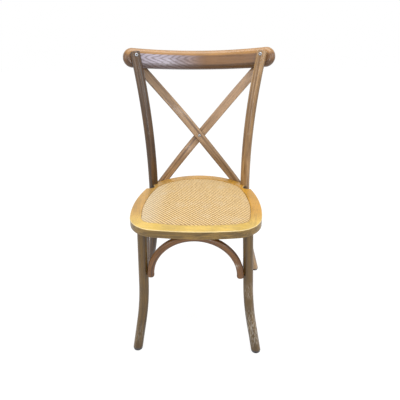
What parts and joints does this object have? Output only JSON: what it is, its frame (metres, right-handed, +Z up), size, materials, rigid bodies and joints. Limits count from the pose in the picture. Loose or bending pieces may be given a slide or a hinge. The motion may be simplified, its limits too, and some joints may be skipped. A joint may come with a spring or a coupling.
{
  "type": "cross back chair",
  "caption": "Wooden dining chair: curved top rail on bent round posts, crossed back straps, woven cane seat in a bowed frame, bent arch braces under the seat, splayed legs.",
  "frame": {"origin": "on the floor, at the centre of the chair's bounding box seen from above", "axes": "+Z up from the floor, +Y from the seat's front edge towards the backrest, +X to the right when looking at the chair from the front"},
  "size_m": [0.4898, 0.4766, 0.8929],
  "materials": {
    "brown_oak": "satin",
    "golden_oak": "satin",
    "plain_wood": "matte",
    "cane": "satin",
    "steel": "satin",
    "glide_plastic": "matte"
  },
  "bodies": {
    "root": {"back_post_left": "brown_oak", "back_post_right": "brown_oak", "top_rail": "brown_oak", "cross_strap_front": "brown_oak", "cross_strap_rear": "brown_oak", "front_leg_left": "brown_oak", "front_leg_right": "brown_oak", "front_arch": "brown_oak", "rear_arch": "brown_oak", "side_arch_left": "brown_oak", "side_arch_right": "brown_oak", "seat_front_rail": "golden_oak", "seat_rear_rail": "golden_oak", "seat_side_rail_left": "golden_oak", "seat_side_rail_right": "golden_oak", "seat_frame_tenons": "plain_wood", "seat_board": "plain_wood", "woven_cane_panel": "cane", "rail_bolts": "steel", "rail_washers": "steel", "rail_nuts": "steel", "cross_bolt": "steel", "cross_nut": "steel", "strap_foot_screws": "steel", "post_seat_bolts": "steel", "arch_end_screws": "steel", "arch_crown_screws": "steel", "seat_board_screws": "steel", "glide_pins": "steel", "front_glide_left": "glide_plastic", "front_glide_right": "glide_plastic", "rear_glide_left": "glide_plastic", "rear_glide_right": "glide_plastic"}
  },
  "joints": []
}
